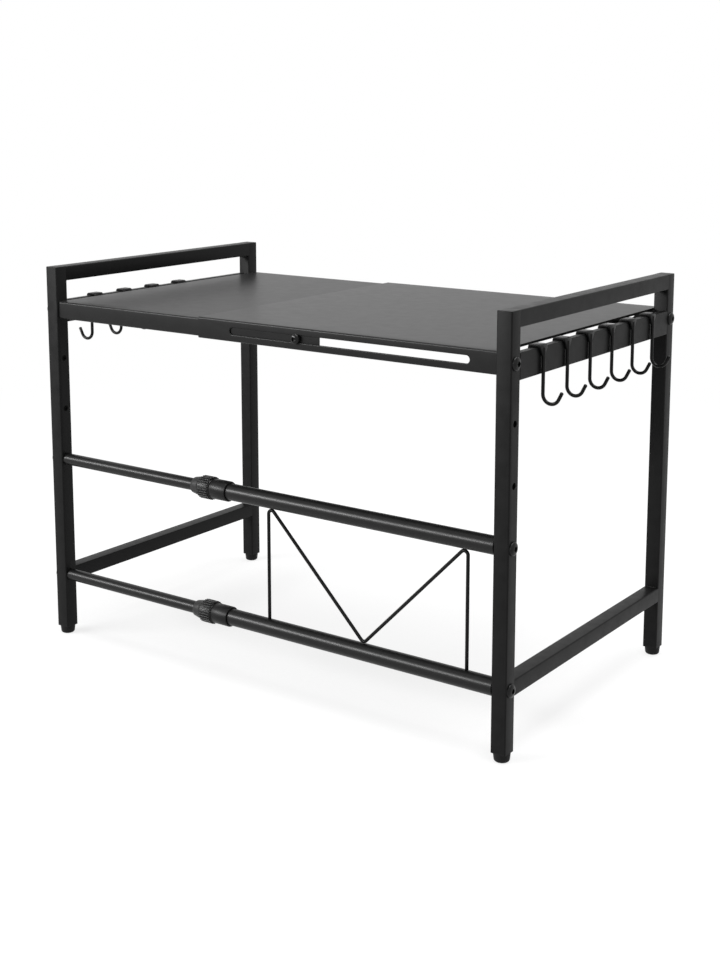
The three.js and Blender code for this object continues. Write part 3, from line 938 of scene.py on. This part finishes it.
hook = hook_shape()
for side, count in HOOKS:
    for number in range(1, count + 1):
        node = f"{side}_hook_{number}"
        piece = copy_of(hook, f"{node}_wire", (0, middle(node).y, 0), half_turn=side == "left")
        smooth(piece, WIRE_ANGLE)
        done(piece, node, "wire", wire_coat, node)
bpy.data.objects.remove(hook)

# Inner pieces keep their solids and take a finish of their own
for node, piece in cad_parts.items():
    if node.endswith(("weld_nut", "clamp_nut", "insert")):
        coated(piece, zinc)
    elif node.endswith("lock_jaw"):
        coated(piece, lock_plastic)

# Studio
WHITE = (1, 1, 1, 1)
WORLD_LIGHT = 0.3
FLOOR_SIZE, FLOOR_BELOW = 14, 0.4 * MM
FLOOR_GREY, FLOOR_ROUGH = 0.9, 0.9
# Near the object the floor is this share white and keeps its shadow. It is all white past the fade.
NEAR_WHITE = 0.8
FADE_FROM, FADE_TO = 0.5, 1.6


def reckon(tree, operation, first, second):
    step = tree.nodes.new("ShaderNodeMath")
    step.operation = operation
    tree.links.new(first, step.inputs[0])
    tree.links.new(second, step.inputs[1])
    return step.outputs[0]


# One for what the camera sees straight, in gloss or through glass, and nought for light on the object
def seen(tree):
    path = tree.nodes.new("ShaderNodeLightPath")
    straight = reckon(tree, "MAXIMUM", path.outputs["Is Camera Ray"], path.outputs["Is Glossy Ray"])
    return reckon(tree, "MAXIMUM", straight, path.outputs["Is Transmission Ray"])


def white_where(tree, share, plain, white, end):
    mix = tree.nodes.new("ShaderNodeMixShader")
    tree.links.new(share, mix.inputs["Fac"])
    tree.links.new(plain, mix.inputs[1])
    tree.links.new(white, mix.inputs[2])
    tree.links.new(mix.outputs["Shader"], tree.nodes[end].inputs["Surface"])


def floor_finish():
    finish, tree, shader, place = finish_nodes("pale_floor", grey(FLOOR_GREY), FLOOR_ROUGH, shine=0.0)
    glow = tree.nodes.new("ShaderNodeEmission")
    glow.inputs["Color"].default_value = WHITE
    glow.inputs["Strength"].default_value = 1.0
    reach = tree.nodes.new("ShaderNodeVectorMath")
    reach.operation = "LENGTH"
    tree.links.new(place.outputs["Object"], reach.inputs[0])
    fade = map_range(tree, reach.outputs["Value"], FADE_FROM, FADE_TO, NEAR_WHITE, 1.0)
    share = reckon(tree, "MULTIPLY", seen(tree), fade)
    white_where(tree, share, shader.outputs["BSDF"], glow.outputs["Emission"], "Material Output")
    return finish


def studio_floor():
    start_clean()
    bpy.ops.mesh.primitive_plane_add(size=FLOOR_SIZE, location=(0, 0, -FLOOR_BELOW))
    floor = settle(named("studio_floor"))
    floor.data.materials.append(floor_finish())
    floor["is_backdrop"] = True


def studio_world():
    world = bpy.data.worlds.new("studio")
    bpy.context.scene.world = world
    world.use_nodes = True
    tree = world.node_tree
    light = tree.nodes["Background"]
    light.inputs["Color"].default_value = WHITE
    light.inputs["Strength"].default_value = WORLD_LIGHT
    backdrop = tree.nodes.new("ShaderNodeBackground")
    backdrop.inputs["Color"].default_value = WHITE
    backdrop.inputs["Strength"].default_value = 1.0
    white_where(
        tree, seen(tree), light.outputs["Background"], backdrop.outputs["Background"], "World Output")


def softbox(name, place, aim, window, power):
    start_clean()
    bpy.ops.object.light_add(type="AREA", location=place)
    lamp = bpy.context.object
    lamp.name = name
    lamp.data.shape = "RECTANGLE"
    lamp.data.size, lamp.data.size_y = window
    lamp.data.energy = power
    lamp.rotation_euler = (Vector(aim) - Vector(place)).to_track_quat("-Z", "Y").to_euler()


# The camera stands at the photograph's angle: this far round to the right and looking this far down.
CAMERA_PLACE = (0.9301, -1.2883, 0.6094)
CAMERA_ROUND, CAMERA_DOWN = 35.60, 9.29
CAMERA_LENS, CAMERA_SENSOR = 55.42, 36
CAMERA_SHIFT = -0.15


def studio_camera():
    bpy.ops.object.camera_add(location=CAMERA_PLACE)
    camera = bpy.context.object
    camera.name = "camera"
    camera.rotation_euler = (math.radians(90 - CAMERA_DOWN), 0, math.radians(CAMERA_ROUND))
    camera.data.lens = CAMERA_LENS
    camera.data.sensor_width = CAMERA_SENSOR
    camera.data.shift_y = CAMERA_SHIFT
    bpy.context.scene.camera = camera


studio_floor()
studio_world()
softbox("overhead", place=(0.3, 0.1, 2.2), aim=(0, 0, 0.3), window=(1.8, 1.6), power=72)
softbox("right_fill", place=(2.2, -0.6, 1.3), aim=(0, 0, 0.25), window=(1.2, 1.4), power=2)
softbox("front_strip", place=(-1.5, -2.0, 1.2), aim=(0, 0, 0.25), window=(1.6, 0.3), power=84)
studio_camera()
bpy.context.scene.view_settings.view_transform = "Standard"

low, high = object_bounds()
